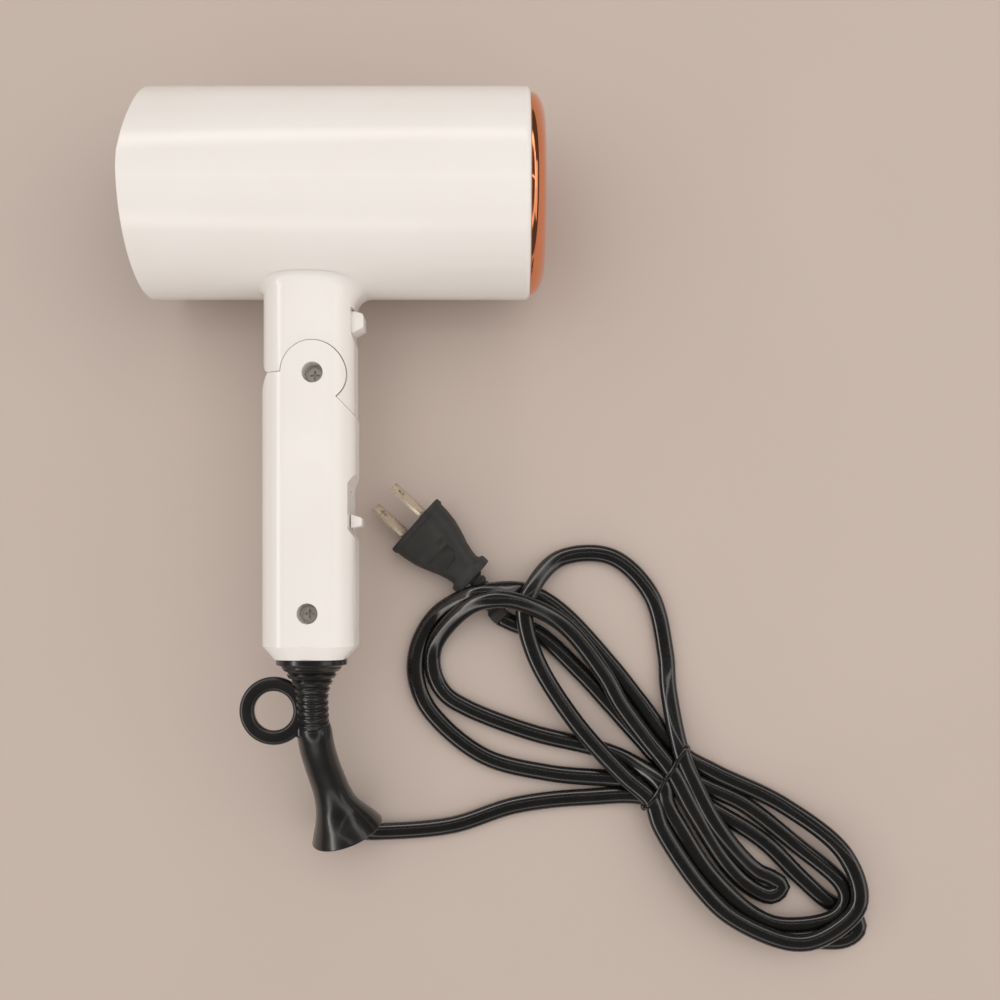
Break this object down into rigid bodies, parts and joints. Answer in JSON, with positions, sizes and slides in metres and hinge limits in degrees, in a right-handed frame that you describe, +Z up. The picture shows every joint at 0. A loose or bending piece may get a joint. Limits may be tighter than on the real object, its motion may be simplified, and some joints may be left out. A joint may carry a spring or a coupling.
{
  "type": "hair dryer",
  "caption": "Foldable hair dryer with a round barrel, a chromed outlet ring, a folding handle with a slider and a push button, and a flat cord tied in a hank.",
  "frame": {"origin": "middle of the bottom of the dryer's box as it lies on its side, cord and plug left out; z = 0 is the surface that it lies on", "axes": "+X along the barrel towards the air outlet, +Y from the handle's end towards the barrel, +Z up"},
  "size_m": [0.2959, 0.3488, 0.08],
  "materials": {
    "white_shell": "high gloss warm white",
    "rose_gold": "polished rose-gold plating",
    "black_grille": "semi-gloss black",
    "steel_mesh": "fine woven mesh",
    "steel": "bright zinc plated",
    "brass": "bright",
    "board_green": "solder mask",
    "black_plastic": "fine matte",
    "mica": "dull laminated sheet",
    "coil_wire": "oxidised resistance wire",
    "wire_red": "smooth insulation",
    "washer": "waxy nylon",
    "fan_white": "satin nylon",
    "inner_plastic": "fine matte, heat resistant",
    "boot_rubber": "satin black",
    "cord_black": "glossy black",
    "plug_black": "fine matte black"
  },
  "bodies": {
    "head": {"head_shell": "white_shell", "rear_cover": "black_grille", "filter_mesh": "steel_mesh", "outlet_ring": "rose_gold", "outlet_grille": "black_grille", "fan_housing": "inner_plastic", "motor_can": "steel", "motor_bushes": "brass", "motor_screws": "steel", "rectifier_board": "board_green", "rectifier_diodes": "black_plastic", "mica_tube": "mica", "mica_board_flat": "mica", "mica_board_upright": "mica", "heating_coil": "coil_wire", "thermostat": "steel", "thermal_fuse": "steel", "cool_shot_switch": "black_plastic", "head_wires": "wire_red", "hinge_washers": "washer", "button_spring": "steel", "power_cord": "cord_black", "cord_tie": "cord_black", "plug_body": "plug_black", "plug_relief": "plug_black", "plug_blades": "brass"},
    "handle": {"handle_shell_front": "white_shell", "handle_shell_rear": "white_shell", "handle_screws": "steel", "speed_switch": "black_plastic", "switch_terminals": "brass", "handle_wires": "wire_red", "crimp_caps": "washer", "inner_cord": "cord_black", "cord_clamp": "black_plastic", "clamp_screws": "steel", "boot": "boot_rubber"},
    "fan": {"fan": "fan_white", "motor_shaft": "steel"},
    "cool_shot_button": {"cool_shot_button": "white_shell"},
    "speed_slider": {"speed_slider": "white_shell"}
  },
  "joints": [
    {"name": "handle_fold", "type": "hinge", "parent": "head", "child": "handle", "pos_m": [-0.01075, 0.0396, 0.04], "axis": [0, 0, 1], "range_deg": [0, 90], "deforming": ["power_cord"]},
    {"name": "speed_slide", "type": "slide", "parent": "handle", "child": "speed_slider", "axis": [0, 1, 0], "range_m": [0, 0.01]},
    {"name": "cool_shot_press", "type": "slide", "parent": "head", "child": "cool_shot_button", "axis": [-1, 0, 0], "range_m": [0, 0.002], "stiffness_N_per_m": 600, "deforming": ["button_spring"]},
    {"name": "fan_spin", "type": "hinge", "parent": "head", "child": "fan", "pos_m": [-0.0563, 0.1129, 0.04], "axis": [1, 0, 0], "continuous": true}
  ]
}
